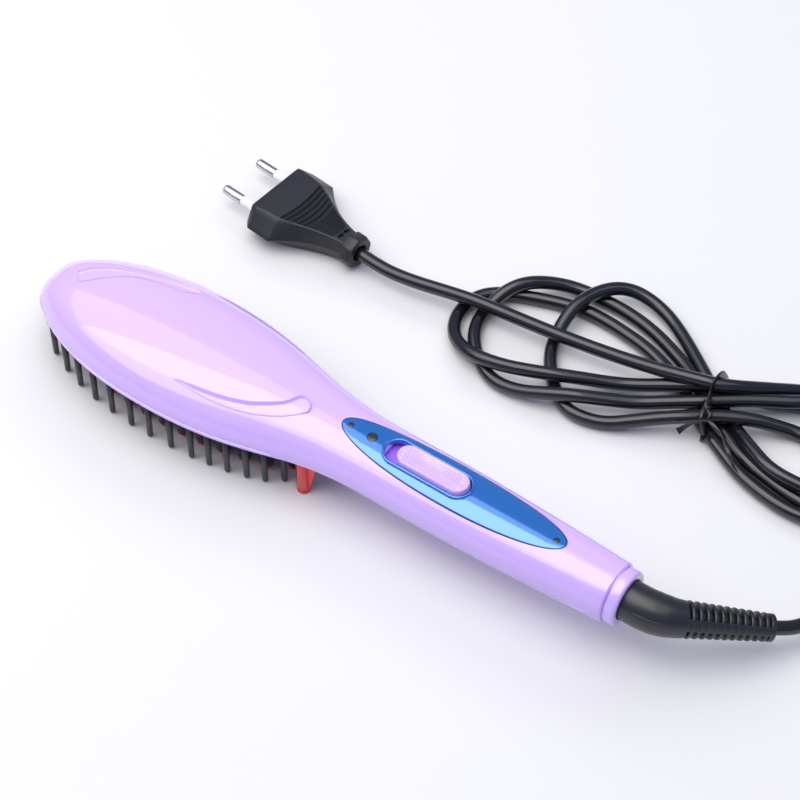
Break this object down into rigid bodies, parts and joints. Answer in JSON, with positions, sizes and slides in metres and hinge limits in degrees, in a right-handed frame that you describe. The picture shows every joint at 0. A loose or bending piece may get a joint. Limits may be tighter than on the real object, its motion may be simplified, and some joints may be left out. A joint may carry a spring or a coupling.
{
  "type": "electric hot comb",
  "caption": "Electric hair straightening brush with a slide switch, bent swivel cord boot, tied hank of cable and a flat plug.",
  "frame": {"origin": "middle of the brush's outline seen from above, without its cord, at the height of its tooth tips and feet", "axes": "+X from the head's tip along the handle to the cord end, +Z from the teeth to the back of the head, +Y completes the right-handed frame, towards the coiled cable"},
  "size_m": [0.3162, 0.1609, 0.0345],
  "materials": {
    "shell": "pearly lilac moulded plastic, polished",
    "comb": "dark grey moulded plastic, satin",
    "pin_coat": "black coated heat pins, satin",
    "red_clear": "translucent red plastic, polished",
    "heater_metal": "pressed aluminium, plain",
    "ceramic": "fired ceramic, matt",
    "mica": "mica sheet, satin",
    "steel": "plated steel screws",
    "panel": "glossy blue film from mid blue to cyan white",
    "smoke": "smoked translucent plastic",
    "lamp": "clear red lamp body",
    "button": "lilac moulded plastic, polished",
    "inner_plastic": "plain moulded plastic inside the handle",
    "board": "green circuit board",
    "component": "coated electronic components",
    "wire": "silicone covered wire",
    "contact": "plated brass contacts",
    "boot_rubber": "black soft plastic, satin",
    "cable": "black cable sheath, semi gloss",
    "tie": "black plastic covered wire tie",
    "plug": "black moulded plug, satin",
    "sleeve": "white moulded plastic",
    "pin_metal": "nickel plated brass pins"
  },
  "bodies": {
    "brush": {"top_shell": "shell", "bottom_shell": "shell", "end_ring": "shell", "edge_comb_frame": "comb", "edge_teeth": "comb", "base_plate": "comb", "heat_pins": "pin_coat", "base_feet": "red_clear", "pin_tips": "red_clear", "heater_plate": "heater_metal", "heater_clamps": "heater_metal", "ptc_heater": "ceramic", "insulation_sheet": "mica", "heater_screws": "steel", "shell_screws": "steel", "control_panel": "panel", "panel_dots": "smoke", "indicator_lens": "smoke", "indicator_lamp": "lamp", "slide_guide": "inner_plastic", "switch_body": "inner_plastic", "swivel_bush": "inner_plastic", "circuit_board": "board", "filter_capacitor": "component", "thermal_fuse": "component", "thermistor": "component", "supply_wires": "wire", "heater_wires": "wire", "contact_springs": "contact", "cable_lead": "cable", "cable_hank": "cable", "cable_plug_lead": "cable", "twist_tie": "tie", "plug_body": "plug", "pin_sleeves": "sleeve", "plug_pins": "pin_metal"},
    "slider": {"slide_button": "button", "slide_shutter": "button", "switch_lever": "inner_plastic"},
    "boot": {"swivel_stem": "inner_plastic", "slip_rings": "contact", "cord_boot": "boot_rubber"}
  },
  "joints": [
    {"name": "switch_slide", "type": "slide", "parent": "brush", "child": "slider", "axis": [1, 0, 0], "range_m": [-0.004, 0]},
    {"name": "boot_swivel", "type": "hinge", "parent": "brush", "child": "boot", "pos_m": [0.1, 0, 0.0207], "axis": [1, 0, 0], "continuous": true}
  ]
}
